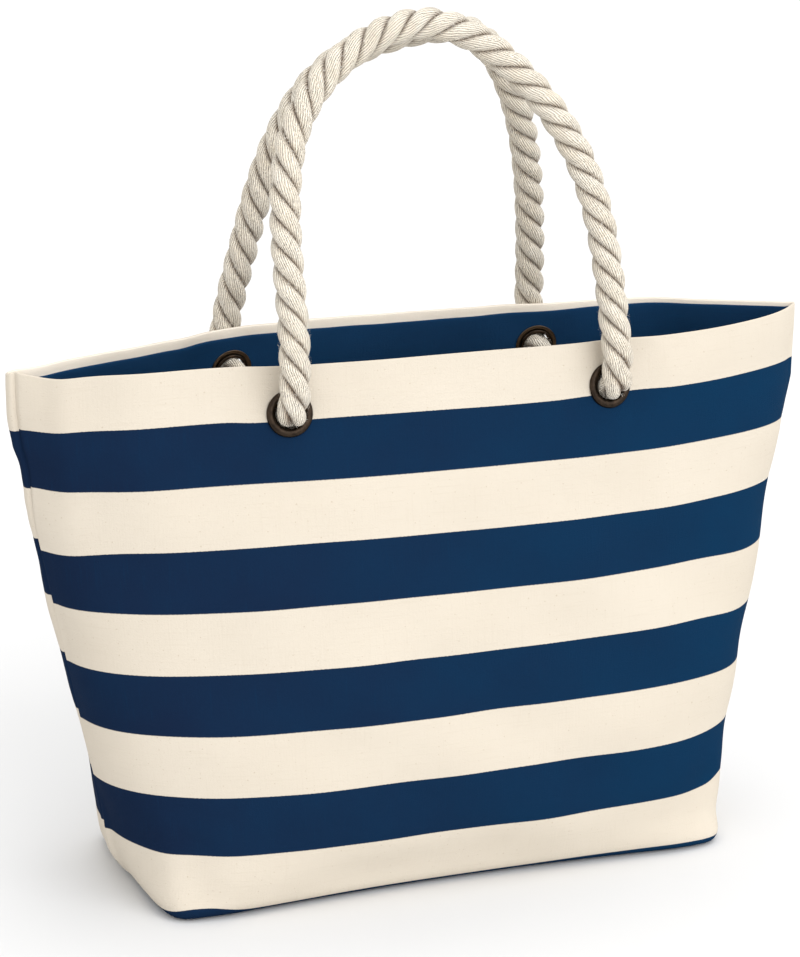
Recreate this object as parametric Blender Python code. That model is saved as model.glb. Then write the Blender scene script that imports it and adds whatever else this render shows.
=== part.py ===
"""Striped canvas beach bag with two rope handles.

Metres, +Z up. The origin is on the floor under the middle of the base, the
front panel faces -Y and the side seams are at -X and +X.

The bag is cut as two canvas panels. Each one wraps the front (or the back),
half of both gussets and half of the base. They meet at two side seams, a seam
along the middle of the base and two short seams that box the corners. A
facing runs round the inside of the rim, and four eyelets clamp panel and
facing together. Each handle is a rope whose ends pass through two eyelets
and are knotted inside, so it swings on the line through its two eyelets.
"""
import math

import bmesh
import bpy
import numpy as np
from mathutils import Matrix, Vector

# ---- bag body -------------------------------------------------------------
BASE_WIDTH = 0.377         # where the base lies on the floor
BASE_DEPTH = 0.176
HEIGHT = 0.355
MOUTH_WIDTH = 0.546        # side seam to side seam at the rim
MOUTH_FRONT = 0.056        # how far the front rim stands off the seam line
MOUTH_BACK = 0.066         # the same for the back rim
UPRIGHT = 0.050            # the sides stand upright this far below the rim
END_SWELL = 0.0215         # the ends swell out over the base by this much
END_SWELL_HIGH = 0.040     # and reach it at this height
BELLY = 0.016              # how far the panels swell below half height
RIM_DIP = 0.008            # the rim hangs this much lower at the side seams

# ---- cloth ----------------------------------------------------------------
CANVAS = 0.0018
BASE_FOLD = 0.010          # outer radius where the panels turn under the base
SEAM_GAP = 0.0002          # from each panel's edge to the seam line
LAYER_GAP = 0.0003         # between plies that lie on each other
FACING = 0.0012
FACING_TOP = 0.007         # from the rim down to the facing's upper edge
FACING_DEPTH = 0.062
SEAM_WIDTH = 0.009         # bound seam allowance inside
SEAM_THICK = 0.0024
SEAM_TOP = 0.004           # from the rim down to the upper end of a side seam
CORNER_SEAM_INSET = 0.028  # corner seams stop this far from the base corners
FLAT_INSET = 0.0015        # seams on the base keep this far from its ends

# ---- eyelets --------------------------------------------------------------
EYELET_SPACING = 0.221
EYELET_DROP = 0.0293       # rim to eyelet centre
EYELET_BORE = 0.0186
EYELET_FLANGE = 0.0302
EYELET_DOME = 0.0026
EYELET_WALL = 0.0007
EYELET_CURL = 0.0016
WASHER_WIDE = 0.0290
WASHER_THICK = 0.0008
CUT_CLEARANCE = 0.0004     # barrel to the hole cut in the cloth

# ---- ropes ----------------------------------------------------------------
ROPE = 0.0205
ROPE_IN_BORE = 0.0172      # squeezed where it passes an eyelet
HINGE_GAP = 0.0005         # from the handle's round end to the rope in the eyelet
APEX_GAP = 0.0006          # from each handle's top to the bag's middle plane
FRONT_RISE = 0.2315        # hinge line to the top of the rope's centreline
BACK_RISE = 0.2245
LEAN_POWER = 1.4           # legs leave the eyelets upright, then lean inwards
# Centreline points of the two handles, seen from the front: across as a share
# of half the hinge length, up as a share of the rise.
FRONT_ARCH = ((-0.985, 0.22), (-0.985, 0.50), (-0.85, 0.77), (-0.445, 0.95),
              (0.035, 1.00), (0.48, 0.875), (0.84, 0.615), (0.965, 0.245))
BACK_ARCH = ((-0.965, 0.16), (-0.90, 0.36), (-0.78, 0.66), (-0.50, 0.905),
             (-0.09, 0.995), (0.32, 0.99), (0.635, 0.825), (0.845, 0.56),
             (0.965, 0.22))
KNOT_WIDE = 0.046
KNOT_DROP = 0.047          # eyelet centre down to the knot's middle
KNOT_CLEAR = 0.0030        # knot to the cloth
TAIL = 0.050               # rope end below the knot's middle
WHIPPING_LONG = 0.009
WHIPPING_THICK = 0.0011
WHIPPING_END = 0.006       # tail end to the whipping

PANEL_COLUMNS = 48
COLLECTION = "beach_bag"


def clear_scene():
    for thing in list(bpy.data.objects):
        bpy.data.objects.remove(thing, do_unlink=True)


def collection(name):
    group = bpy.data.collections.new(name)
    bpy.context.scene.collection.children.link(group)
    return group


def material(name, colour, roughness, metallic=0.0):
    made = bpy.data.materials.new(name)
    made.use_nodes = True
    shader = made.node_tree.nodes["Principled BSDF"]
    shader.inputs["Base Color"].default_value = (*colour, 1.0)
    shader.inputs["Roughness"].default_value = roughness
    shader.inputs["Metallic"].default_value = metallic
    return made


def add_mesh(name, verts, faces, look, group):
    """One closed body from points and faces, with its faces turned outwards."""
    shape = bmesh.new()
    points = [shape.verts.new(v) for v in verts]
    for face in faces:
        shape.faces.new([points[i] for i in face])
    bmesh.ops.recalc_face_normals(shape, faces=shape.faces)
    mesh = bpy.data.meshes.new(name)
    shape.to_mesh(mesh)
    shape.free()
    made = bpy.data.objects.new(name, mesh)
    mesh.materials.append(look)
    group.objects.link(made)
    return made


# ---- the bag's shape ------------------------------------------------------
def outline_size(z, inset, mouth):
    """Half width and half depth of the bag at height z, and the powers that
    say how square its outline is: nearly a rectangle on the floor, then a
    flat-sided shape pinched at the seams, and close to an ellipse at the rim."""
    up = z / HEIGHT
    low_width = BASE_WIDTH + 2 * END_SWELL
    half_width = (low_width + (MOUTH_WIDTH - low_width)
                  * min(z / (HEIGHT - UPRIGHT), 1)) / 2 - inset
    half_depth = (BASE_DEPTH / 2 + (mouth - BASE_DEPTH / 2) * up
                  + BELLY * math.sin(math.pi * up ** 0.7) - inset)
    if z < END_SWELL_HIGH:
        half_width -= END_SWELL * (1 - math.sqrt(1 - (1 - z / END_SWELL_HIGH) ** 2))
    if z < BASE_FOLD:
        half_depth -= BASE_FOLD * (1 - math.sqrt(1 - (1 - z / BASE_FOLD) ** 2))
    floor = 10 * math.exp(-z / 0.010)
    return (half_width, half_depth, 2.1 + 2.4 * (1 - up) ** 1.3 + floor,
            2.0 + 0.5 * (1 - up) + floor)


def depth_at(x, z, inset, mouth):
    """How far the panel stands off the seam line at x and z."""
    half_width, half_depth, across, out = outline_size(z, inset, mouth)
    return half_depth * (1 - (abs(x) / half_width) ** across) ** (1 / out)


def wall_point(share, z, inset, mouth, nearest):
    """Point of a panel on the outline of height z: share runs from the left
    seam to the right one by length, and the panel starts at depth nearest."""
    half_width, half_depth, across, out = outline_size(z, inset, mouth)
    turn = np.linspace(0, math.pi / 2, 181)
    x = half_width * np.abs(np.cos(turn)) ** (2 / across)
    y = half_depth * np.abs(np.sin(turn)) ** (2 / out)
    inside = y > nearest
    x = np.concatenate([[np.interp(nearest, y, x)], x[inside]])
    y = np.concatenate([[nearest], y[inside]])
    run = np.concatenate([[0], np.cumsum(np.hypot(np.diff(x), np.diff(y)))])
    along = (1 - abs(2 * share - 1)) * run[-1]
    side = -1 if share < 0.5 else 1
    dip = RIM_DIP * abs(2 * share - 1) ** 20 * (z / HEIGHT) ** 10
    return side * np.interp(along, run, x), np.interp(along, run, y), z - dip


def shares(count):
    """Column places, closer together towards the side seams."""
    even = np.linspace(0, 1, count + 1)
    return even - 0.6 * np.sin(2 * math.pi * even) / (2 * math.pi)


def wall_shell(name, face, mouth, heights, insets, nearest, columns, look, group,
               with_base=False):
    """A cloth body between an outer and an inner skin at the given insets;
    face is -1 for the front and +1 for the back. With a base, the lowest
    row is closed by a flat flap up to the base seam, and the inner skin is
    lifted off the outer one there by the cloth's thickness."""
    thick = insets[1] - insets[0]
    verts, rows = [], []
    for inset in insets:
        for z in heights:
            lift = (1 - z / HEIGHT) * thick if with_base and inset > insets[0] else 0
            row = []
            for share in shares(columns):
                x, y, height = wall_point(share, z, inset, mouth, nearest)
                row.append(len(verts))
                verts.append((x, face * y, height + lift))
            rows.append(row)
    outer, inner = rows[:len(heights)], rows[len(heights):]
    faces = []
    for skin in (outer, inner):
        for low, high in zip(skin, skin[1:]):
            faces += [(low[i], low[i + 1], high[i + 1], high[i]) for i in range(columns)]
    faces += [(outer[-1][i], outer[-1][i + 1], inner[-1][i + 1], inner[-1][i])
              for i in range(columns)]
    for end in (0, columns):
        faces += [(outer[j][end], outer[j + 1][end], inner[j + 1][end], inner[j][end])
                  for j in range(len(heights) - 1)]
    if with_base:
        faces += [tuple(outer[0]), tuple(inner[0]),
                  (outer[0][0], outer[0][-1], inner[0][-1], inner[0][0])]
    else:
        faces += [(outer[0][i], outer[0][i + 1], inner[0][i + 1], inner[0][i])
                  for i in range(columns)]
    return add_mesh(name, verts, faces, look, group)


def panel_heights():
    """Rows of a panel: close together where it turns under, and the facing's
    own rows at the top, so that the two cloths lie flat on each other."""
    fold = [BASE_FOLD * (1 - math.cos(turn)) for turn in np.radians((0, 14, 30, 55, 90))]
    swell = [BASE_FOLD + (END_SWELL_HIGH - BASE_FOLD) * share for share in (0.3, 0.63, 1)]
    hem = facing_heights()
    return fold + swell + list(np.linspace(END_SWELL_HIGH, hem[0], 9)[1:-1]) + hem + [HEIGHT]


def facing_heights():
    top = HEIGHT - FACING_TOP
    return list(np.linspace(top - FACING_DEPTH, top, 5))


# ---- eyelets --------------------------------------------------------------
def eyelet_frame(side, face, mouth):
    """Matrix with its origin on the cloth at an eyelet and +Z out of it."""
    x, z, step = side * EYELET_SPACING / 2, HEIGHT - EYELET_DROP, 0.001
    slope_x = (depth_at(x + step, z, 0, mouth) - depth_at(x - step, z, 0, mouth)) / (2 * step)
    slope_z = (depth_at(x, z + step, 0, mouth) - depth_at(x, z - step, 0, mouth)) / (2 * step)
    out = Vector((-slope_x, face, -slope_z)).normalized()
    across = out.cross(Vector((0, 0, 1))).normalized()
    up = out.cross(across)
    turn = Matrix((across, up, out)).transposed().to_4x4()
    return Matrix.Translation((x, face * depth_at(x, z, 0, mouth), z)) @ turn


def turned(name, profile, frame, look, group, steps=28):
    """A ring turned about a frame's Z axis from a closed (radius, height) profile."""
    verts, faces, count = [], [], len(profile)
    for i in range(steps):
        angle = 2 * math.pi * i / steps
        for radius, height in profile:
            verts.append(frame @ Vector((radius * math.cos(angle),
                                         radius * math.sin(angle), height)))
    for i in range(steps):
        here, there = i * count, (i + 1) % steps * count
        for j in range(count):
            k = (j + 1) % count
            faces.append((here + j, here + k, there + k, there + j))
    return add_mesh(name, verts, faces, look, group)


def cloth_depth():
    """From the outside of the panel to the inside of the facing."""
    return CANVAS + LAYER_GAP + FACING


def eyelet_profile():
    bore, flange = EYELET_BORE / 2, EYELET_FLANGE / 2
    barrel = bore + EYELET_WALL
    washer_back = cloth_depth() + 2 * LAYER_GAP + WASHER_THICK + 0.0002
    middle, half = (barrel + flange) / 2 - 0.0004, (flange - bore) / 2
    dome = [(middle + half * math.cos(a),
             LAYER_GAP + EYELET_DOME * math.sin(a) ** 0.8)
            for a in np.radians((150, 120, 90, 60, 30))]
    return ([(bore, -washer_back - EYELET_WALL), (bore, LAYER_GAP + EYELET_DOME * 0.45)]
            + dome
            + [(flange, LAYER_GAP + 0.0003), (flange - 0.0006, LAYER_GAP),
               (barrel, LAYER_GAP), (barrel, -washer_back),
               (barrel + EYELET_CURL, -washer_back),
               (barrel + EYELET_CURL * 0.8, -washer_back - EYELET_WALL)])


def washer_profile():
    inner = EYELET_BORE / 2 + EYELET_WALL + 0.0003
    front = -cloth_depth() - LAYER_GAP
    return [(inner, front), (WASHER_WIDE / 2, front),
            (WASHER_WIDE / 2, front - WASHER_THICK * 0.6),
            (WASHER_WIDE / 2 - 0.0008, front - WASHER_THICK),
            (inner, front - WASHER_THICK)]


def cut_holes(cloth, frames, cutters):
    """Punch the eyelet holes through a panel or a facing."""
    radius = EYELET_BORE / 2 + EYELET_WALL + CUT_CLEARANCE
    for number, frame in enumerate(frames):
        shape = bmesh.new()
        bmesh.ops.create_cone(shape, cap_ends=True, segments=28, radius1=radius,
                              radius2=radius, depth=0.024, matrix=frame)
        mesh = bpy.data.meshes.new(f"{cloth.name}_hole_{number}")
        shape.to_mesh(mesh)
        shape.free()
        punch = bpy.data.objects.new(mesh.name, mesh)
        punch.hide_render = True
        punch.display_type = "WIRE"
        cutters.objects.link(punch)
        cut = cloth.modifiers.new(f"hole_{number}", "BOOLEAN")
        cut.operation, cut.solver, cut.object = "DIFFERENCE", "EXACT", punch


# ---- ropes ----------------------------------------------------------------
def smooth(points, count):
    """A smooth curve through points: a natural cubic spline by chord length."""
    points = np.array(points, float)
    run = np.concatenate([[0], np.cumsum(np.linalg.norm(np.diff(points, axis=0), axis=1))])
    gap = np.diff(run)
    size = len(points)
    system, right = np.eye(size), np.zeros_like(points)
    for i in range(1, size - 1):
        system[i, i - 1:i + 2] = gap[i - 1], 2 * (gap[i - 1] + gap[i]), gap[i]
        right[i] = 6 * ((points[i + 1] - points[i]) / gap[i]
                        - (points[i] - points[i - 1]) / gap[i - 1])
    bend = np.linalg.solve(system, right)
    made = []
    for at in np.linspace(0, run[-1], count):
        i = min(int(np.searchsorted(run, at, side="right")) - 1, size - 2)
        a, b, h = run[i + 1] - at, at - run[i], gap[i]
        made.append(bend[i] * a ** 3 / (6 * h) + bend[i + 1] * b ** 3 / (6 * h)
                    + (points[i] / h - bend[i] * h / 6) * a
                    + (points[i + 1] / h - bend[i + 1] * h / 6) * b)
    return np.array(made)


def tube(name, points, radii, look, group, resolution=4):
    """A round bar along points, capped at both ends."""
    curve = bpy.data.curves.new(name, "CURVE")
    curve.dimensions = "3D"
    curve.bevel_depth = ROPE / 2
    curve.bevel_resolution = resolution
    curve.use_fill_caps = True
    line = curve.splines.new("POLY")
    line.points.add(len(points) - 1)
    for place, point, radius in zip(line.points, points, radii):
        place.co = (*point, 1.0)
        place.radius = radius / (ROPE / 2)
    made = bpy.data.objects.new(name, curve)
    curve.materials.append(look)
    group.objects.link(made)
    return made


def stub_height():
    """Where the rope in an eyelet ends, just proud of the flange."""
    return LAYER_GAP + EYELET_DOME + 0.0004


def hinge_point(frame):
    """Middle of the handle's round end, on the eyelet's axis."""
    return frame @ Vector((0, 0, stub_height() + HINGE_GAP + ROPE / 2))


def handle(name, frames, face, arch, rise, look, group):
    """A rope arch that swings on the line through its two eyelets."""
    left, right = (hinge_point(frame) for frame in frames)
    half = (right.x - left.x) / 2
    reach = abs(left.y) - ROPE / 2 - APEX_GAP
    flat = [(left.x, 0.0)] + [(x * half, h * rise) for x, h in arch] + [(right.x, 0.0)]
    points = [(x, left.y - face * reach * (max(h, 0) / rise) ** LEAN_POWER, left.z + h)
              for x, h in smooth(flat, 56)]
    radii = [ROPE / 2] * len(points)
    for turn in np.radians((25, 50, 72, 84)):           # round ends
        down, narrow = ROPE / 2 * math.sin(turn), ROPE / 2 * math.cos(turn)
        points = [(left.x, left.y, left.z - down)] + points + [(right.x, right.y, right.z - down)]
        radii = [narrow] + radii + [narrow]
    return tube(name, points, radii, look, group)


def knot_route(frame, mouth):
    """Centreline of the rope inside: through the eyelet, down, knot, tail."""
    start, top = frame.translation, HEIGHT - EYELET_DROP
    face = 1 if start.y > 0 else -1
    wall = depth_at(start.x, top - KNOT_DROP, cloth_depth(), mouth)
    knot_y = face * (wall - KNOT_CLEAR - KNOT_WIDE / 2)
    route = [frame @ Vector((0, 0, h)) for h in (stub_height(), -0.002, -cloth_depth() - 0.004)]
    bend = Vector((start.x, (route[-1].y + 2 * knot_y) / 3, top - 0.010))
    route += [bend,
              Vector((start.x, knot_y, top - KNOT_DROP * 0.52)),
              Vector((start.x, knot_y, top - KNOT_DROP)),
              Vector((start.x, knot_y, top - KNOT_DROP - TAIL * 0.55)),
              Vector((start.x, knot_y, top - KNOT_DROP - TAIL))]
    return route


def knot(name, frame, mouth, look, group):
    """The rope's end inside the bag: neck, knot and tail as one body."""
    route = smooth(knot_route(frame, mouth), 34)
    run = np.concatenate([[0], np.cumsum(np.linalg.norm(np.diff(route, axis=0), axis=1))])
    middle = run[-1] - TAIL
    neck_end = stub_height() + cloth_depth() + 0.004
    radii = []
    for at in run:
        rope = np.interp(at, (neck_end, neck_end + 0.010), (ROPE_IN_BORE / 2, ROPE / 2))
        off = (at - middle) / (KNOT_WIDE * 0.42)
        lump = KNOT_WIDE / 2 * math.sqrt(max(1 - off * off, 0))
        radii.append(max(rope, lump))
    return tube(name, route, radii, look, group, resolution=3)


def whipping(name, frame, mouth, look, group):
    """Thread wound round the tail's end."""
    end = knot_route(frame, mouth)[-1] + Vector((0, 0, WHIPPING_END))
    inner = ROPE / 2 + LAYER_GAP
    outer = inner + WHIPPING_THICK
    profile = [(inner, 0), (outer - 0.0003, 0), (outer, 0.0004),
               (outer, WHIPPING_LONG - 0.0004), (outer - 0.0003, WHIPPING_LONG),
               (inner, WHIPPING_LONG)]
    return turned(name, profile, Matrix.Translation(end), look, group, steps=20)


# ---- seams ----------------------------------------------------------------
def strip(name, path, across, thick, look, group):
    """A bound seam allowance: a flat band with a rectangular section that
    follows path. across and thick are the section's two full-size vectors."""
    verts, faces = [], []
    for point in path:
        for a, b in ((-1, -1), (1, -1), (1, 1), (-1, 1)):
            verts.append(Vector(point) + a * across / 2 + b * thick / 2)
    for i in range(len(path) - 1):
        for j in range(4):
            k = (j + 1) % 4
            faces.append((4 * i + j, 4 * i + k, 4 * i + 4 + k, 4 * i + 4 + j))
    faces += [(0, 1, 2, 3), tuple(4 * (len(path) - 1) + j for j in range(4))]
    return add_mesh(name, verts, faces, look, group)


def side_seam(name, side, look, group):
    """The allowance stands off the seam into the bag, from base to rim."""
    low = CANVAS + 2 * LAYER_GAP + SEAM_THICK + 0.001
    top = HEIGHT - RIM_DIP - SEAM_TOP
    path = []
    for z in [low] + [z for z in panel_heights() if low < z < top] + [top]:
        half_width = outline_size(max(z - CANVAS, 0), CANVAS + 2 * LAYER_GAP, MOUTH_FRONT)[0]
        path.append((side * (half_width - SEAM_WIDTH / 2), 0, z))
    return strip(name, path, Vector((SEAM_WIDTH, 0, 0)), Vector((0, SEAM_THICK, 0)), look, group)


def corner_seam(name, side, look, group):
    x = side * (BASE_WIDTH / 2 - CANVAS - FLAT_INSET - SEAM_WIDTH / 2)
    y = BASE_DEPTH / 2 - CORNER_SEAM_INSET
    z = CANVAS + LAYER_GAP + SEAM_THICK / 2
    return strip(name, [(x, y * a, z) for a in (-1, -0.33, 0.33, 1)],
                 Vector((SEAM_WIDTH, 0, 0)), Vector((0, 0, SEAM_THICK)), look, group)


def base_seam(name, look, group):
    x = BASE_WIDTH / 2 - CANVAS - FLAT_INSET - SEAM_WIDTH - 2 * LAYER_GAP
    z = CANVAS + LAYER_GAP + SEAM_THICK / 2
    return strip(name, [(x * a, 0, z) for a in (-1, -0.5, 0, 0.5, 1)],
                 Vector((0, SEAM_WIDTH, 0)), Vector((0, 0, SEAM_THICK)), look, group)


def main():
    clear_scene()
    bag, cutters = collection(COLLECTION), collection("cutters")
    looks = {
        "front_panel": material("front_panel", (0.80, 0.74, 0.64), 0.90),
        "back_panel": material("back_panel", (0.78, 0.72, 0.62), 0.90),
        "facing": material("facing", (0.02, 0.07, 0.16), 0.88),
        "seam": material("seam", (0.70, 0.66, 0.58), 0.92),
        "eyelet": material("eyelet", (0.16, 0.12, 0.09), 0.35, 1.0),
        "washer": material("washer", (0.19, 0.15, 0.11), 0.40, 1.0),
        "rope": material("rope", (0.82, 0.76, 0.66), 0.95),
        "knot": material("knot", (0.79, 0.73, 0.63), 0.95),
        "thread": material("thread", (0.86, 0.82, 0.74), 0.85),
    }

    def own(kind, name):
        """Each piece carries its own copy of its kind's material."""
        look = looks[kind].copy()
        look.name = name
        return look

    for face, mouth, word, arch, rise in (
            (-1, MOUTH_FRONT, "front", FRONT_ARCH, FRONT_RISE),
            (1, MOUTH_BACK, "back", BACK_ARCH, BACK_RISE)):
        frames = [eyelet_frame(side, face, mouth) for side in (-1, 1)]
        panel = wall_shell(f"{word}_panel", face, mouth, panel_heights(), (0, CANVAS),
                           SEAM_GAP, PANEL_COLUMNS, looks[f"{word}_panel"], bag, with_base=True)
        facing = wall_shell(f"{word}_facing", face, mouth, facing_heights(),
                            (CANVAS + LAYER_GAP, cloth_depth()), SEAM_THICK / 2 + LAYER_GAP,
                            PANEL_COLUMNS, own("facing", f"{word}_facing"), bag)
        for cloth in (panel, facing):
            cut_holes(cloth, frames, cutters)
        handle(f"{word}_handle", frames, face, arch, rise, own("rope", f"{word}_handle"), bag)
        for frame, hand in zip(frames, ("left", "right")):
            place = f"{word}_{hand}"
            turned(f"{place}_eyelet", eyelet_profile(), frame, own("eyelet", f"{place}_eyelet"), bag)
            turned(f"{place}_washer", washer_profile(), frame, own("washer", f"{place}_washer"), bag)
            knot(f"{place}_knot", frame, mouth, own("knot", f"{place}_knot"), bag)
            whipping(f"{place}_whipping", frame, mouth, own("thread", f"{place}_whipping"), bag)
    for side, hand in ((-1, "left"), (1, "right")):
        side_seam(f"{hand}_side_seam", side, own("seam", f"{hand}_side_seam"), bag)
        corner_seam(f"{hand}_corner_seam", side, own("seam", f"{hand}_corner_seam"), bag)
    base_seam("base_seam", own("seam", "base_seam"), bag)
    for look in looks.values():
        if look.users == 0:
            bpy.data.materials.remove(look)


main()
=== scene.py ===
"""Looks of the striped canvas beach bag: ropes, cloth, eyelets, seams and light."""

import math

import bpy
import numpy as np
from mathutils import Matrix, Vector


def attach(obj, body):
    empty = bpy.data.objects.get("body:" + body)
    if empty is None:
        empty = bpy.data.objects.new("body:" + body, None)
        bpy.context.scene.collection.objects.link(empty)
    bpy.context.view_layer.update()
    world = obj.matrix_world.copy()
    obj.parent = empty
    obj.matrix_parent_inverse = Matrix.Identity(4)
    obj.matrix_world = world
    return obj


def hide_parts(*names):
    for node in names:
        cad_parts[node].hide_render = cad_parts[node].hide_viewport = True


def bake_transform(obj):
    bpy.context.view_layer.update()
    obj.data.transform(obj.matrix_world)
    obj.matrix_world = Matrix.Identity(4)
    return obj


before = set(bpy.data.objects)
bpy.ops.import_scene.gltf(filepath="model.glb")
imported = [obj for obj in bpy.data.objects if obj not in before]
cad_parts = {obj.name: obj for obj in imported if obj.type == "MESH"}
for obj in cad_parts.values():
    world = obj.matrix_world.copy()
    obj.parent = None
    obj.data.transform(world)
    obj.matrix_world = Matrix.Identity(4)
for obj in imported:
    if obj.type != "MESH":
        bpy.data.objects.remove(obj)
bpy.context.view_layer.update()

# ---- sizes shared with the CAD source, in metres ----
BASE_WIDTH, BASE_DEPTH, HEIGHT = 0.377, 0.176, 0.355
MOUTH_WIDTH, MOUTH_FRONT, MOUTH_BACK = 0.546, 0.056, 0.066
UPRIGHT, END_SWELL, END_SWELL_HIGH, BELLY = 0.050, 0.0215, 0.040, 0.016
CANVAS, BASE_FOLD = 0.0018, 0.010
LAYER_GAP, FACING, FACING_TOP, FACING_DEPTH = 0.0003, 0.0012, 0.007, 0.062
EYELET_SPACING, EYELET_DROP, EYELET_BORE = 0.221, 0.0293, 0.0186
EYELET_FLANGE, EYELET_DOME, EYELET_WALL, WASHER_WIDE = 0.0302, 0.0026, 0.0007, 0.0290
ROPE, ROPE_IN_BORE, HINGE_GAP, APEX_GAP = 0.0205, 0.0172, 0.0005, 0.0006
FRONT_RISE, BACK_RISE, LEAN_POWER = 0.2315, 0.2245, 1.4
FRONT_ARCH = ((-0.985, 0.22), (-0.985, 0.50), (-0.85, 0.77), (-0.445, 0.95),
              (0.035, 1.00), (0.48, 0.875), (0.84, 0.615), (0.965, 0.245))
BACK_ARCH = ((-0.965, 0.16), (-0.90, 0.36), (-0.78, 0.66), (-0.50, 0.905),
             (-0.09, 0.995), (0.32, 0.99), (0.635, 0.825), (0.845, 0.56),
             (0.965, 0.22))
KNOT_WIDE, KNOT_DROP, KNOT_CLEAR, TAIL = 0.046, 0.047, 0.0030, 0.050
SEAM_WIDTH, SEAM_THICK = 0.009, 0.0024
WHIPPING_LONG, THREAD = 0.009, 0.0011
CLOTH = CANVAS + LAYER_GAP + FACING

# ---- sizes of the looks ----
FACES = (("front", -1, MOUTH_FRONT), ("back", 1, MOUTH_BACK))
LAY = 0.0505               # one full turn of a strand along the rope
STRAND = 0.2350            # a strand's radius, as a share of the rope's width
STRAND_OUT = 0.2680        # its distance from the rope's middle, in the same way
STRAND_TALL, STRAND_WIDE = 0.96, 1.06
STRAND_SIDES, TAPE_SIDES = 28, 28
KNOT_SQUEEZE = 0.88        # the rope gives where it is pulled tight on itself
STRIPE_TOP, STRIPE = 0.0335, 0.040
HOLE = 0.0118              # the cloth is open this far round an eyelet's middle
HALF_ROUND = 0.285         # along the cloth from a panel's middle to its side seam
HANG_FROM = 0.185          # the cloth above this height hangs with the rim
STITCH_OFF = 0.0020        # from a tape's middle to its row of stitches
ON_TAPE = SEAM_THICK * 0.42


# ---- camera ----
def camera():
    az, el, roll = (math.radians(a) for a in (-21.204, 16.320, 0.615))
    back = Vector((math.sin(az) * math.cos(el), -math.cos(az) * math.cos(el), math.sin(el)))
    right = Vector((math.cos(az), math.sin(az), 0))
    up = back.cross(right)
    across = right * math.cos(roll) + up * math.sin(roll)
    upward = up * math.cos(roll) - right * math.sin(roll)
    lens = bpy.data.cameras.new("camera")
    lens.sensor_width = 36.0
    lens.lens = 115.62734
    lens.clip_end = 50
    made = bpy.data.objects.new("camera", lens)
    turn = Matrix((across, upward, back)).transposed().to_4x4()
    aim, distance = Vector((-0.0309, -0.0453, 0.2723)), 1.986
    made.matrix_world = Matrix.Translation(aim + back * distance) @ turn
    bpy.context.scene.collection.objects.link(made)
    bpy.context.scene.camera = made


# ---- meshes from arrays ----
def mesh_object(name, verts, faces, look, uvs=None):
    """verts (n, 3), faces a list of tuples or an (m, 4) array, uvs one pair per face corner."""
    mesh = bpy.data.meshes.new(name)
    mesh.from_pydata([tuple(v) for v in np.asarray(verts, float)], [],
                     [tuple(int(i) for i in f) for f in faces])
    if uvs is not None:
        layer = mesh.uv_layers.new(name="cloth")
        layer.data.foreach_set("uv", np.asarray(uvs, np.float32).ravel())
    mesh.polygons.foreach_set("use_smooth", [True] * len(mesh.polygons))
    mesh.materials.append(look)
    mesh.update()
    made = bpy.data.objects.new(name, mesh)
    bpy.context.scene.collection.objects.link(made)
    return made


def marked(made, name, values):
    """One number for each point of a mesh, for its material to read."""
    layer = made.data.attributes.new(name, "FLOAT", "POINT")
    layer.data.foreach_set("value", np.asarray(values, np.float32))


def grid_faces(rows, columns, start=0, closed=False, flip=False):
    """Quads over a grid of rows x columns points; closed joins the last column to the first."""
    i = np.arange(rows - 1)[:, None]
    j = np.arange(columns if closed else columns - 1)[None, :]
    k = (j + 1) % columns
    quads = np.stack([i * columns + j, i * columns + k, (i + 1) * columns + k,
                      (i + 1) * columns + j], axis=-1).reshape(-1, 4) + start
    return quads[:, ::-1] if flip else quads


def face_corners(u, v):
    """The (u, v) pairs at the corners of each quad of a grid, from grids of u and v."""
    rows, columns = u.shape
    both = np.stack([u, v], axis=2)
    return np.stack([both[di:rows - 1 + di, dj:columns - 1 + dj].reshape(-1, 2)
                     for di, dj in ((0, 0), (0, 1), (1, 1), (1, 0))], axis=1)


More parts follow.
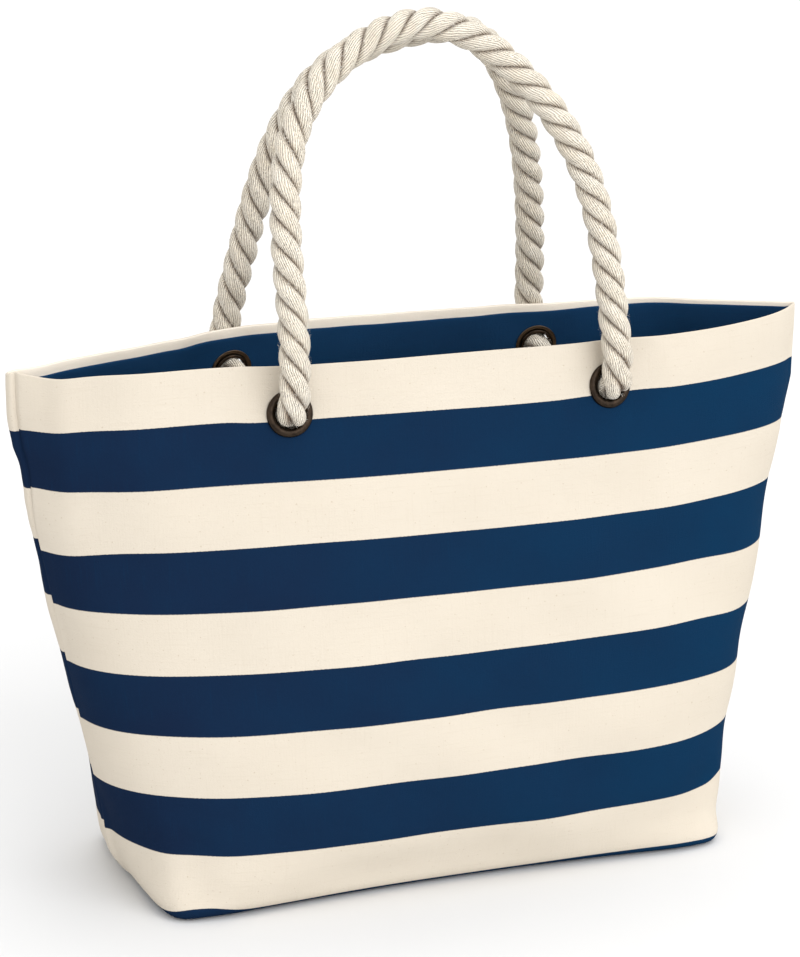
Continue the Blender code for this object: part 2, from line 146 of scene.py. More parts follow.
# ---- materials ----
class Nodes:
    """Short hand for building a material's node tree."""

    def __init__(self, name):
        self.made = bpy.data.materials.new(name)
        self.made.use_nodes = True
        self.tree = self.made.node_tree
        self.shader = self.tree.nodes["Principled BSDF"]

    def add(self, kind, **settings):
        node = self.tree.nodes.new(kind)
        for key, value in settings.items():
            setattr(node, key, value)
        return node

    def link(self, out, into):
        self.tree.links.new(out, into)

    def put(self, socket, value):
        if isinstance(value, bpy.types.NodeSocket):
            self.link(value, socket)
        else:
            socket.default_value = value

    def math(self, operation, a, b=0.0, clamp=False):
        node = self.add("ShaderNodeMath", operation=operation, use_clamp=clamp)
        self.put(node.inputs[0], a)
        self.put(node.inputs[1], b)
        return node.outputs[0]

    def plus(self, a, b):
        return self.math("ADD", a, b)

    def minus(self, a, b):
        return self.math("SUBTRACT", a, b)

    def times(self, a, b):
        return self.math("MULTIPLY", a, b)

    def wave(self, a):
        return self.math("SINE", a)

    def size(self, a):
        return self.math("ABSOLUTE", a)

    def mix(self, share, a, b):
        node = self.add("ShaderNodeMix", data_type="RGBA")
        self.put(node.inputs["Factor"], share)
        for socket, value in ((node.inputs[6], a), (node.inputs[7], b)):
            self.put(socket, (*value, 1.0) if isinstance(value, tuple) else value)
        return node.outputs[2]

    def ramp(self, value, low, high, to_low=0.0, to_high=1.0):
        node = self.add("ShaderNodeMapRange")
        for socket, number in zip(node.inputs, (value, low, high, to_low, to_high)):
            self.put(socket, number)
        return node.outputs[0]

    def noise(self, vector, scales, detail=2.0, rough=0.5):
        """Clouds with their own scale in each direction of vector."""
        stretch = self.add("ShaderNodeVectorMath", operation="MULTIPLY")
        self.link(vector, stretch.inputs[0])
        stretch.inputs[1].default_value = (*scales, 1.0)[:3]
        node = self.add("ShaderNodeTexNoise")
        self.link(stretch.outputs[0], node.inputs["Vector"])
        for key, value in (("Scale", 1.0), ("Detail", detail), ("Roughness", rough)):
            node.inputs[key].default_value = value
        return node.outputs[0]

    def mark(self, name):
        """The value of a mesh attribute."""
        node = self.add("ShaderNodeAttribute")
        node.attribute_name = name
        return node.outputs["Fac"]

    def bump(self, height, distance, strength=1.0, normal=None):
        node = self.add("ShaderNodeBump")
        for key, value in (("Strength", strength), ("Distance", distance), ("Height", height)):
            self.put(node.inputs[key], value)
        if normal is not None:
            self.link(normal, node.inputs["Normal"])
        return node.outputs[0]

    def uv(self):
        node = self.add("ShaderNodeUVMap")
        node.uv_map = "cloth"
        return node.outputs[0]

    def across_down(self, vector):
        node = self.add("ShaderNodeSeparateXYZ")
        self.link(vector, node.inputs[0])
        return node.outputs[:2]

    def place(self):
        return self.add("ShaderNodeTexCoord").outputs["Object"]

    def surface(self, colour, normal, rough, gloss=0.5, sheen=0.0, metal=0.0):
        """Fills in the shader, and gives the material."""
        for key, value in (("Base Color", colour), ("Normal", normal), ("Roughness", rough),
                           ("Specular IOR Level", gloss), ("Sheen Weight", sheen), ("Metallic", metal)):
            self.put(self.shader.inputs[key], value)
        return self.made


CREAM = (0.622, 0.562, 0.474)
CREAM_DARK = (0.546, 0.480, 0.389)
CREAM_INSIDE_PAINTED_LIGHT = (0.880, 0.800, 0.690)
# NAVY is the stripes' navy with painted shade, for the left of the bag; NAVY_PALE is the same navy with
# painted light, for the right
NAVY = (0.0064, 0.0160, 0.0430)
NAVY_PALE = (0.0030, 0.0288, 0.0740)


def weave(n, uv):
    """Height of a plain weave, 0 to 1, from a UV map in metres, with uneven yarns."""
    yarns = math.pi / 0.00072
    wobble = n.noise(uv, (60, 60), 1.0)
    u, v = n.across_down(uv)
    shift = n.times(n.minus(wobble, 0.5), 5.0)
    across = n.wave(n.plus(n.times(u, yarns), shift))
    down = n.wave(n.plus(n.times(v, yarns), shift))
    over = n.ramp(n.times(across, down), -0.25, 0.25)
    return n.plus(n.times(n.size(across), over), n.times(n.size(down), n.minus(1.0, over)))


def canvas_look(name, striped=True, plain=CREAM, dark=CREAM_DARK, flecks=0.40):
    """Cotton canvas. Stripes go by the UV map's second number, the distance
    down the cloth from the rim in metres. The back face shows them faintly."""
    n = Nodes(name)
    uv = n.uv()
    u, v = n.across_down(uv)
    cloudy = n.noise(uv, (9, 9), 3.0, 0.6)
    slub = n.noise(uv, (35, 900), 1.0)
    slub_up = n.noise(uv, (900, 35), 1.0)
    cream = n.mix(n.ramp(cloudy, 0.30, 0.75, 0.0, 0.35), plain, dark)
    cream = n.mix(n.ramp(slub, 0.58, 0.78, 0.0, 0.30), cream, dark)
    cream = n.mix(n.ramp(slub_up, 0.60, 0.80, 0.0, 0.25), cream, dark)
    if flecks:
        fleck = n.ramp(n.noise(uv, (620, 620), 0.0), 0.800, 0.825, 0.0, flecks)
        cream = n.mix(fleck, cream, (0.36, 0.27, 0.17))
    high = weave(n, uv)
    # painted shade where the weave is low, between the yarns
    cream = n.mix(n.ramp(high, 0.0, 0.6, 0.22, 0.0), cream, dark)
    if striped:
        # painted light: the navy runs from NAVY at the left to NAVY_PALE at the right, darker where
        # less light from the right falls; the clouds add uneven dye
        dye_clouds_and_painted_light = n.plus(n.ramp(u, -0.28, 0.28), n.ramp(cloudy, 0.3, 0.8, -0.22, 0.22))
        navy = n.mix(n.math("MULTIPLY", dye_clouds_and_painted_light, 1.0, clamp=True), NAVY, NAVY_PALE)
        navy = n.mix(n.ramp(slub_up, 0.60, 0.80, 0.0, 0.25), navy, NAVY_PALE)
        # painted shade where the weave is low, between the yarns
        navy = n.mix(n.ramp(high, 0.0, 0.5, 0.20, 0.0), navy, tuple(c * 0.5 for c in NAVY))
        ragged = n.times(n.minus(n.noise(uv, (700, 300)), 0.5), 0.0006)
        place = n.minus(n.plus(v, ragged), STRIPE_TOP)
        turn = n.math("FRACT", n.math("DIVIDE", place, 2 * STRIPE))
        lower = n.ramp(turn, 0.0, 0.003)
        upper = n.ramp(turn, 0.497, 0.503, 1.0, 0.0)
        printed = n.times(n.times(lower, upper), n.ramp(place, 0.0, 0.0003))
        inside = n.mark("inside")
        printed = n.times(printed, n.ramp(inside, 0.0, 1.0, 1.0, 0.16))
        # painted light: the inner skin is painted lighter to make up for the shade inside the bag
        cream = n.mix(inside, cream, CREAM_INSIDE_PAINTED_LIGHT)
        colour = n.mix(printed, cream, navy)
    else:
        colour = cream
    soft = n.bump(cloudy, 0.0010, 0.5)
    lumps = n.plus(n.times(slub, 0.5), n.times(slub_up, 0.5))
    yarn = n.bump(lumps, 0.0003, 0.5, soft)
    grain = n.noise(uv, (700, 1000), 2.0, 0.6)
    high = n.plus(n.times(high, 0.45), n.times(grain, 1.1))
    return n.surface(colour, n.bump(high, 0.00026, 0.7, yarn), 0.86, gloss=0.02)


def rope_look(name):
    """Soft cotton yarns: fine ridges that cross each strand at the angle that sets them along the rope,
    fluff between them, painted shade in the grooves between the yarns and painted shade in the hollows
    between the strands."""
    n = Nodes(name)
    uv = n.uv()
    u, v = n.across_down(uv)
    wander = n.noise(uv, (3.0, 60), 2.0)
    turn = n.minus(u, n.math("DIVIDE", v, 0.046))
    turn = n.plus(turn, n.times(n.minus(wander, 0.5), 0.10))
    yarn = n.size(n.wave(n.times(turn, math.pi * 21)))
    place = n.place()
    fluff = n.noise(place, (1400, 1400, 500), 3.0, 0.65)
    patch = n.noise(place, (70, 70, 70), 3.0, 0.6)
    colour = n.mix(n.ramp(patch, 0.3, 0.75), (0.90, 0.800, 0.640), (0.970, 0.900, 0.770))
    # painted shade in the grooves between the yarns
    colour = n.mix(n.ramp(yarn, 0.0, 0.50, 0.60, 0.0), colour, (0.50, 0.37, 0.22))
    colour = n.mix(n.ramp(fluff, 0.52, 0.72, 0.0, 0.45), colour, (0.94, 0.90, 0.83))
    # painted shade in the hollows between the strands
    colour = n.mix(n.ramp(n.mark("strand_gap_shade"), 0.05, 0.9, 0.0, 0.95), colour, (0.22, 0.135, 0.07))
    n.shader.inputs["Sheen Roughness"].default_value = 0.6
    ridge = n.bump(yarn, 0.0011)
    return n.surface(colour, n.bump(fluff, 0.0006, 0.8, ridge), 0.93, gloss=0.08, sheen=0.35)


def brass_look(name, base, bright):
    """Antique brass, nearly black in the hollows and brown on worn edges."""
    n = Nodes(name)
    place = n.place()
    cloud = n.noise(place, (260, 260, 260), 4.0, 0.65)
    fine = n.noise(place, (2600, 2600, 2600), 2.0)
    worn = n.add("ShaderNodeNewGeometry").outputs["Pointiness"]
    colour = n.mix(n.ramp(cloud, 0.42, 0.72, 0.0, 0.6), base, bright)
    colour = n.mix(n.ramp(worn, 0.50, 0.56, 0.0, 0.7), colour, bright)
    rough = n.ramp(cloud, 0.3, 0.8, 0.26, 0.46)
    return n.surface(colour, n.bump(fine, 0.00006, 0.4), rough, metal=1.0)


def thread_look(name, colour, sheen=0.15):
    n = Nodes(name)
    place = n.place()
    fluff = n.noise(place, (1800, 1800, 1800), 2.0)
    mixed = n.mix(n.ramp(fluff, 0.3, 0.7, 0.0, 0.4), colour, tuple(c * 0.7 for c in colour))
    return n.surface(mixed, n.bump(fluff, 0.0002, 0.5), 0.8, gloss=0.1, sheen=sheen)


# ---- small sums ----
def run_of(points):
    """How far along a line each of its points is."""
    return np.concatenate([[0], np.cumsum(np.linalg.norm(np.diff(points, axis=0), axis=1))])


def unit(vectors):
    return vectors / np.linalg.norm(vectors, axis=-1, keepdims=True)


def eased(value):
    """0 to 1 with a soft start and end."""
    value = np.clip(value, 0, 1)
    return value * value * (3 - 2 * value)


def hump(value, middle, wide):
    """A bell curve: 1 at the middle, falling off over wide to each side."""
    return np.exp(-((value - middle) / wide) ** 2)


def circle(count):
    turn = np.linspace(0, 2 * math.pi, count, endpoint=False)
    return np.cos(turn), np.sin(turn)


def spun(first, second, angle):
    """The direction at each angle from first towards second."""
    return first * np.cos(angle)[:, None] + second * np.sin(angle)[:, None]


def tube(path, first, second, across, up):
    """Rings of points round a path: across and up are places in the section."""
    return path[:, None] + first[:, None] * across[..., None] + second[:, None] * up[..., None]


def capped(count, sides):
    """The faces of a tube of count rings, with both ends closed."""
    ends = [tuple(range(sides))[::-1], tuple(range((count - 1) * sides, count * sides))]
    return grid_faces(count, sides, closed=True).tolist() + ends


# ---- the bag's shape, as in the CAD source ----
def outline_size(z, inset, mouth):
    """Half width, half depth and the two powers of the outline at a height."""
    up = z / HEIGHT
    low_width = BASE_WIDTH + 2 * END_SWELL
    half_width = (low_width + (MOUTH_WIDTH - low_width)
                  * min(z / (HEIGHT - UPRIGHT), 1)) / 2 - inset
    half_depth = (BASE_DEPTH / 2 + (mouth - BASE_DEPTH / 2) * up
                  + BELLY * math.sin(math.pi * up ** 0.7) - inset)
    if z < END_SWELL_HIGH:
        half_width -= END_SWELL * (1 - math.sqrt(1 - (1 - z / END_SWELL_HIGH) ** 2))
    if z < BASE_FOLD:
        half_depth -= BASE_FOLD * (1 - math.sqrt(1 - (1 - z / BASE_FOLD) ** 2))
    floor = 10 * math.exp(-z / 0.010)
    return (half_width, half_depth, 2.1 + 2.4 * (1 - up) ** 1.3 + floor,
            2.0 + 0.5 * (1 - up) + floor)


def depth_at(x, z, inset, mouth):
    half_width, half_depth, across, out = outline_size(z, inset, mouth)
    return half_depth * (1 - (abs(x) / half_width) ** across) ** (1 / out)


def eyelet_frame(side, face, mouth):
    x, z, step = side * EYELET_SPACING / 2, HEIGHT - EYELET_DROP, 0.001
    slopes = [(depth_at(x + a, z + b, 0, mouth) - depth_at(x - a, z - b, 0, mouth)) / (2 * step)
              for a, b in ((step, 0), (0, step))]
    out = Vector((-slopes[0], face, -slopes[1])).normalized()
    across = out.cross(Vector((0, 0, 1))).normalized()
    up = out.cross(across)
    turn = Matrix((across, up, out)).transposed().to_4x4()
    return Matrix.Translation((x, face * depth_at(x, z, 0, mouth), z)) @ turn


def hinge_point(place):
    """Where the rope outside turns: the middle of its round end."""
    stub = LAYER_GAP + EYELET_DOME + 0.0004
    return place @ Vector((0, 0, stub + HINGE_GAP + ROPE / 2))


def smooth(points, count):
    """A natural cubic spline through points, by chord length."""
    points = np.array(points, float)
    run = run_of(points)
    gap, size = np.diff(run), len(points)
    system, right = np.eye(size), np.zeros_like(points)
    for i in range(1, size - 1):
        system[i, i - 1:i + 2] = gap[i - 1], 2 * (gap[i - 1] + gap[i]), gap[i]
        right[i] = 6 * ((points[i + 1] - points[i]) / gap[i]
                        - (points[i] - points[i - 1]) / gap[i - 1])
    bend = np.linalg.solve(system, right)
    at = np.linspace(0, run[-1], count)
    i = np.clip(np.searchsorted(run, at, side="right") - 1, 0, size - 2)
    a, b, h = (run[i + 1] - at)[:, None], (at - run[i])[:, None], gap[i][:, None]
    return (bend[i] * a ** 3 / (6 * h) + bend[i + 1] * b ** 3 / (6 * h)
            + (points[i] / h - bend[i] * h / 6) * a
            + (points[i + 1] / h - bend[i + 1] * h / 6) * b)


def at_run(at, run, values):
    """Rows of values between those given at each run."""
    return np.stack([np.interp(at, run, values[:, k]) for k in range(3)], axis=1)


# ---- ropes ----
def even(points, step):
    """The same line with its points an even step apart."""
    run = run_of(points)
    at = np.linspace(0, run[-1], max(int(round(run[-1] / step)), 2) + 1)
    return at_run(at, run, points)


def softened(points, times):
    """Corners rounded off, with both ends held."""
    points = points.copy()
    for _ in range(times):
        points[1:-1] += 0.25 * (points[:-2] - 2 * points[1:-1] + points[2:])
    return points


def tight_knot():
    """An overhand knot pulled tight, in rope diameters and running from top to
    bottom. It starts as a loose trefoil curve. Its ends are then drawn apart
    while the rope keeps its length, its thickness and a little stiffness."""
    t = np.linspace(-2.06, 2.06, 400)
    points = np.stack([0.17 * t ** 5 - 1.7 * t, 0.55 * (t ** 4 - 4 * t * t), 3 * t - t ** 3], axis=1)
    points = even(points, 0.28)
    step = np.linalg.norm(points[1] - points[0])
    place = np.arange(len(points))
    far = np.abs(place[:, None] - place[None, :]) * step > 1.8
    for _ in range(2600):
        points[0, 2] += 0.05
        points[-1, 2] -= 0.05
        points[[0, -1], :2] *= 0.95
        points[1:-1] += 0.04 * (points[:-2] - 2 * points[1:-1] + points[2:])
        for _ in range(4):
            gap = points[1:] - points[:-1]
            size = np.linalg.norm(gap, axis=1, keepdims=True)
            fix = gap / size * (size - step) * 0.5
            points[:-1] += fix
            points[1:] -= fix
        for _ in range(2):
            between = points[:, None, :] - points[None, :, :]
            size = np.sqrt((between ** 2).sum(axis=2)) + 1e-9
            lack = np.where(far & (size < 1.0), 1.0 - size, 0.0)
            points += (between / size[..., None] * lack[..., None] * 0.28).sum(axis=1)
    return points[np.abs(points[:, 2]) < 2.1]


def rope_frames(points):
    """Tangents and a pair of normals that turn as little as they can along a line."""
    tangent = unit(np.gradient(points, axis=0))
    normals = [unit(np.cross(tangent[0], (0.3, 1.0, 0.2)))]
    for t in tangent[1:]:
        normals.append(unit(normals[-1] - t * np.dot(normals[-1], t)))
    normal = np.array(normals)
    return tangent, normal, np.cross(tangent, normal)


def rope_mesh(name, points, widths, look):
    """Three strands laid left-handed round a line, each one closed at its ends."""
    _, normal, side = rope_frames(points)
    run, rows, around = run_of(points), len(points), STRAND_SIDES
    c, s = circle(around)
    verts, faces, uvs = [], [], []
    for strand in range(3):
        start = strand * rows * around
        out = spun(normal, side, 2 * math.pi * (strand / 3 - run / LAY))
        middle = points + out * (widths * STRAND_OUT)[:, None]
        along = unit(np.gradient(middle, axis=0))
        flat = unit(np.cross(along, out))
        size = (widths * STRAND)[:, None]
        skin = tube(middle, np.cross(flat, along), flat, c * size * STRAND_TALL, s * size * STRAND_WIDE)
        verts.append(skin.reshape(-1, 3))
        faces.extend(grid_faces(rows, around, start, closed=True, flip=True).tolist())
        length = run_of(middle)
        grids = np.broadcast_arrays(np.arange(around + 1) / around, length[:, None])
        uvs.append(face_corners(*grids)[:, ::-1].reshape(-1, 2))
        for row, turn in ((0, 1), (rows - 1, -1)):
            faces.append([start + row * around + k for k in range(around)][::turn])
            uvs.append(np.stack([np.arange(around) / around, np.full(around, length[row])], 1))
    skin = np.concatenate(verts)
    made = mesh_object(name, skin, faces, look, uvs=np.concatenate(uvs))
    # painted shade: the strands' skin near the rope's middle, in the hollows between the strands, is
    # marked for darkening
    middle = np.tile(np.repeat(points, around, axis=0), (3, 1))
    reach = np.tile(np.repeat(widths, around), 3) * 0.5
    depth = 1 - np.linalg.norm(skin - middle, axis=1) / reach
    marked(made, "strand_gap_shade", np.clip((depth - 0.09) / 0.24, 0, 1))
    return made


def fluff(name, points, widths, look, count, seed):
    """Short loose fibres that stand off a rope, as thin flat slivers."""
    rng = np.random.RandomState(seed)
    tangent, normal, side = rope_frames(points)
    at = rng.randint(4, len(points) - 4, count)
    angle = rng.uniform(0, 2 * math.pi, count)
    out = spun(normal[at], side[at], angle)
    round_it = np.cross(tangent[at], out)
    lean = unit(tangent[at] * rng.normal(0, 1, (count, 1)) + round_it * rng.normal(0, 0.8, (count, 1)))
    root = points[at] + out * (widths[at] * 0.485)[:, None]
    long = rng.uniform(0.0012, 0.0030, count)[:, None]
    rise = rng.uniform(0.10, 0.40, count)[:, None]
    bend = rng.uniform(-0.2, 0.5, count)[:, None]
    flat = np.cross(lean, out)
    thin = 0.00006
    rows = []
    for t, wide in ((0.0, 1.0), (0.35, 0.9), (0.7, 0.7), (1.0, 0.25)):
        mid = root + lean * long * t + out * long * (rise * t - bend * 0.3 * t * t)
        rows += [mid - flat * thin * wide, mid + flat * thin * wide]
    verts = np.stack(rows, axis=1).reshape(-1, 3)
    faces = [(b, b + 1, b + 3, b + 2) for k in range(count) for b in range(8 * k, 8 * k + 6, 2)]
    return mesh_object(name, verts, faces, look)


def rope_path(face, mouth, arch, rise, knot):
    """Centreline of a handle's rope from tail to tail, and its width along it."""
    places = [eyelet_frame(side, face, mouth) for side in (-1, 1)]
    left, right = (hinge_point(place) for place in places)
    half = (right.x - left.x) / 2
    reach = abs(left.y) - ROPE / 2 - APEX_GAP
    flat = [(left.x, 0.0)] + [(x * half, h * rise) for x, h in arch] + [(right.x, 0.0)]
    points = np.array([(x, left.y - face * reach * (max(h, 0) / rise) ** LEAN_POWER, left.z + h)
                       for x, h in smooth(np.array(flat), 240)])
    ends = []
    for place, side in zip(places, (-1, 1)):
        x, top = place.translation.x, place.translation.z
        wall = depth_at(x, top - KNOT_DROP, CLOTH, mouth)
        knot_y = face * (wall - KNOT_CLEAR - KNOT_WIDE / 2)
        neck = [place @ Vector((0, 0, h)) for h in (0.0090, 0.004, -0.001, -CLOTH - 0.004)]
        bend = Vector((x, (neck[-1].y + 2 * knot_y) / 3, top - 0.009))
        curl = knot * (side * face, face, 1) * ROPE * KNOT_SQUEEZE
        curl = curl + (x - curl[0, 0], knot_y - curl[0, 1], top - KNOT_DROP - 0.006)
        tail = (curl[-1, 0], curl[-1, 1], top - KNOT_DROP - TAIL)
        ends.append(np.array([tuple(p) for p in (*neck, bend, *curl, tail)]))
    middle = points[points[:, 2] > left.z + 0.016]
    step = 0.0012
    line = even(np.concatenate([ends[0][::-1], middle, ends[1]]), step)
    line = even(softened(line, 12), step)
    widths = np.full(len(line), ROPE)
    for place in places:
        off = np.array([tuple(place.inverted() @ Vector(p)) for p in line])
        near = hump(off[:, 2], 0, 0.0060) * (np.hypot(off[:, 0], off[:, 1]) < 0.02)
        widths -= (ROPE - ROPE_IN_BORE) * near
    inside = line[:, 2] < places[0].translation.z - 0.020
    tail = np.minimum(run_of(line), run_of(line)[-1] - run_of(line))
    squeezed = inside * np.clip((tail - 0.012) / 0.01, 0, 1)
    widths -= (1 - KNOT_SQUEEZE) * 0.8 * ROPE * softened(squeezed[:, None], 40)[:, 0]
    return line, widths


camera()
knot = tight_knot()

rope_cotton = rope_look("rope_cotton")
fibre = thread_look("rope_fibre", (0.90, 0.86, 0.78))
lines = []
for (word, face, mouth), arch, rise in zip(FACES, (FRONT_ARCH, BACK_ARCH), (FRONT_RISE, BACK_RISE)):
    line, widths = rope_path(face, mouth, arch, rise, knot)
    rope = rope_mesh(f"{word}_rope", line, widths, rope_cotton)
    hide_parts(f"{word}_handle", f"{word}_left_knot", f"{word}_right_knot")
    pivot = (0, face * abs(hinge_point(eyelet_frame(1, face, mouth)).y), 0.3282)
    hairs = fluff(f"{word}_fluff", line, widths, fibre, 9000, 3 + face)
    for part in (rope, hairs):
        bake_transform(part)
    lines.append((word, face, mouth, line, widths))


# ---- cloth ----
def share_columns(count):
    """Column places from one side seam to the other, closer together at the seams."""
    level = np.linspace(0, 1, count + 1)
    return level - 0.72 * np.sin(2 * math.pi * level) / (2 * math.pi)


def outline_rows(heights, shares, mouth):
    """Points of a panel's outer skin, rows by heights, as in the CAD source but for +y."""
    nearest = 0.0002
    turn = np.linspace(0, math.pi / 2, 721)
    rows = []
    for z in heights:
        half_width, half_depth, across, out = outline_size(z, 0, mouth)
        x = half_width * np.abs(np.cos(turn)) ** (2 / across)
        y = half_depth * np.abs(np.sin(turn)) ** (2 / out)
        inside = y > nearest
        x = np.concatenate([[np.interp(nearest, y, x)], x[inside]])
        y = np.concatenate([[nearest], y[inside]])
        run = run_of(np.stack([x, y], axis=1))
        along = (1 - np.abs(2 * shares - 1)) * run[-1]
        side = np.where(shares < 0.5, -1.0, 1.0)
        rows.append(np.stack([side * np.interp(along, run, x), np.interp(along, run, y),
                              np.full(len(shares), float(z))], axis=1))
    return np.array(rows)


# How the rim hangs, as x, distance from the middle plane and height, in
# millimetres. Both panels are pinched flat at the seams, and the back one is
# drawn straighter.
FRONT_RIM = ((-272.3, 0.2, 352), (-267.5, 4.6, 351.5), (-256.2, 13.5, 350.2),
             (-247.5, 21.5, 350.6), (-237.3, 26.5, 352), (-226.1, 31.9, 353.5),
             (-208.9, 39, 354.8), (-164, 45, 356), (-132, 48.8, 356.2), (-110.5, 50.8, 355.7),
             (-82, 52.4, 355), (-35, 54.3, 355), (34, 54.3, 355), (75, 54.8, 355),
             (110.5, 54, 355), (148, 52.5, 355), (180, 47.5, 355), (213.8, 39.3, 355.5),
             (232.3, 32.5, 356), (253.8, 20.3, 356.3), (266, 10.5, 356.5), (275.7, 0.2, 357))
BACK_RIM = ((-272.3, 0.2, 352), (-276.5, 1.8, 351.2), (-277.8, 4.8, 350.8), (-273.5, 8.2, 351.4),
            (-262, 10, 352), (-240.5, 16, 353), (-211.7, 26.5, 353), (-174.8, 41, 352.7),
            (-136.1, 55.5, 353), (-110.5, 60.5, 354.5), (-80, 63.5, 355), (-30, 65.5, 355),
            (30, 65.8, 355), (80, 64.5, 355), (110.5, 61, 355), (140, 58.5, 355),
            (197.6, 49, 355.1), (220.2, 33.6, 355.5), (244.1, 20.1, 356), (267.3, 6, 356.7),
            (275.7, 0.2, 357))


def from_eyelet(x, z, side):
    return np.hypot(x - side * EYELET_SPACING / 2, z - (HEIGHT - EYELET_DROP))


def hung(points, shares, face):
    """Carries the outline over to the hanging rim, fully at the top and not at
    all below half height. The cloth stays put round the eyelets."""
    line = smooth(np.array(FRONT_RIM if face < 0 else BACK_RIM) / 1000, 800)
    run = run_of(line)
    rim = at_run(shares * run[-1], run, line)
    share = eased((points[:, :1, 2] - HANG_FROM) / (HEIGHT - HANG_FROM))
    top = outline_rows([HEIGHT], shares, MOUTH_FRONT if face < 0 else MOUTH_BACK)[0]
    move = (rim - top)[None, :, :] * share[..., None]
    hold = np.ones(points.shape[:2])
    for side in (-1, 1):
        hold *= eased((from_eyelet(points[..., 0], points[..., 2], side) - 0.018) / 0.028)
    points = points + move * hold[..., None]
    # the ends draw in under the rim, and the base pulls the cloth in between its corners
    x, y, z = points[..., 0], points[..., 1], points[..., 2]
    out = np.abs(2 * shares[None, :] - 1)
    end = out ** 4
    left, right = np.where(x < 0, end, 0), np.where(x >= 0, end, 0)
    draw = 0.0046 * left * hump(z, 0.291, 0.025)
    draw -= 0.0040 * left * hump(z, 0.016, 0.024)
    draw -= 0.0036 * right * np.clip(z / 0.05, 0, 1) * np.clip((0.272 - z) / 0.03, 0, 1)
    corner = np.where(x >= 0, np.clip((out - 0.52) / 0.16, 0, 1), 0)
    draw -= 0.0056 * corner * hump(z, 0.016, 0.013)
    bow = (0.0102 if face < 0 else 0.007) * np.clip(1 - (x / 0.180) ** 2, 0, 1) * hump(z, 0, 0.034)
    points[..., 0] = x + draw
    points[..., 1] = y - bow
    return points


def grid_normals(points):
    normal = np.cross(np.gradient(points, axis=1), np.gradient(points, axis=0))
    return -normal / (np.linalg.norm(normal, axis=2, keepdims=True) + 1e-12)


def bumps(x, z, seed, scale, octaves=2):
    """Smooth uneven heights from sums of slow waves, about -1 to 1, the same each run."""
    rng = np.random.RandomState(seed)
    total = np.zeros_like(x)
    for octave in range(octaves):
        for _ in range(5):
            angle, phase = rng.uniform(0, math.pi), rng.uniform(0, 2 * math.pi)
            reach = 2 * math.pi / (scale * rng.uniform(0.7, 1.4)) * 1.9 ** octave
            way = x * math.cos(angle) + z * math.sin(angle)
            total += np.sin(reach * way + phase) / 1.9 ** octave
    return total / 4.0


def crease(x, z, start, end, width, depth):
    """A soft ridge (or groove) from start to end, both (x, z) on the panel."""
    fade = 0.35
    (x0, z0), (x1, z1) = start, end
    dx, dz = x1 - x0, z1 - z0
    size = math.hypot(dx, dz)
    along = ((x - x0) * dx + (z - z0) * dz) / size ** 2
    off = ((x - x0) * dz - (z - z0) * dx) / size
    ends = np.clip((along + fade * 0.2) / fade, 0, 1) * np.clip((1 + fade * 0.2 - along) / fade, 0, 1)
    return depth * eased(ends) * hump(off, 0, width)


def seam_line(heights):
    """Where the two panels meet at each side: rows of left and right points."""
    ends, sides = share_columns(60), []
    for _, face, mouth in FACES:
        edge = hung(outline_rows(heights, ends, mouth), ends, face)[:, (0, -1)]
        sides.append(edge * (1, face, 1))
    return (sides[0] + sides[1]) / 2


def panel_shape(face, mouth, heights, shares):
    """The outer skin of a panel as it hangs: the CAD outline with the slack,
    puckers and soft folds of canvas added. Returns points and outward normals."""
    points = hung(outline_rows(heights, shares, mouth), shares, face)
    x, z = points[..., 0], points[..., 2]
    w = 2 * shares[None, :] - 1 + 0 * x
    normal = grid_normals(points)
    low = eased(z / 0.030)
    rim = np.clip((HEIGHT - z) / 0.03, 0, 1)
    seed = 5 if face < 0 else 11
    push = 0.0022 * bumps(x, z, seed, 0.16) * low * (0.45 + 0.55 * rim)
    push += 0.00070 * bumps(x, z, seed + 1, 0.050, 1) * low
    # the seam pulls the cloth in along its line, with small puckers beside it
    gap = (1 - np.abs(w)) * HALF_ROUND
    pucker = np.sin(z / 0.0085 * 2 * math.pi / 2.2 + 1.7 * np.sin(z / 0.021))
    push -= 0.0013 * hump(gap, 0, 0.0022)
    push += 0.00022 * pucker * hump(gap, 0, 0.010) * low
    # the ropes' weight draws the cloth towards the eyelets
    for side in (-1, 1):
        turn = np.arctan2(z - (HEIGHT - EYELET_DROP), x - side * EYELET_SPACING / 2)
        push += 0.0008 * hump(from_eyelet(x, z, side), 0.024, 0.012) * np.sin(3 * turn + side)
    # boxed corners: soft folds that run up from the base corners
    for side in (-1, 1):
        cx = side * (BASE_WIDTH / 2 + 0.006)
        for x0, z0, x1, z1, wide, high in ((0.985, -0.010, 1.02, 0.075, 0.010, 0.0022),
                                           (0.90, 0.000, 0.93, 0.060, 0.014, -0.0016),
                                           (1.10, 0.004, 1.13, 0.090, 0.012, -0.0012)):
            push += crease(x, z, (cx * x0, z0), (cx * x1, z1), wide, high)
    # a shallow hollow where the base pulls the front in between the corners
    push -= 0.0010 * hump(z, 0.018, 0.020) * np.clip(1 - (x / 0.17) ** 2, 0, 1) * low
    points = points + normal * push[..., None]
    seam = seam_line(heights)
    for column, near in ((0, 1 + w), (-1, 1 - w)):
        off = seam[:, column] * (1, face, 1) - points[:, column]
        points = points + off[:, None, :] * hump(near * HALF_ROUND, 0, 0.0060)[..., None]
    points[..., 2] = np.maximum(points[..., 2], 0.0)
    return points, grid_normals(points)


def way_down(heights, mouth):
    """Distance down the cloth from the rim at the middle of a panel, for each height."""
    depth = np.array([outline_size(z, 0, mouth)[1] for z in heights])
    step = np.hypot(np.diff(heights), np.diff(depth))
    return np.concatenate([np.cumsum(step[::-1])[::-1], [0.0]])


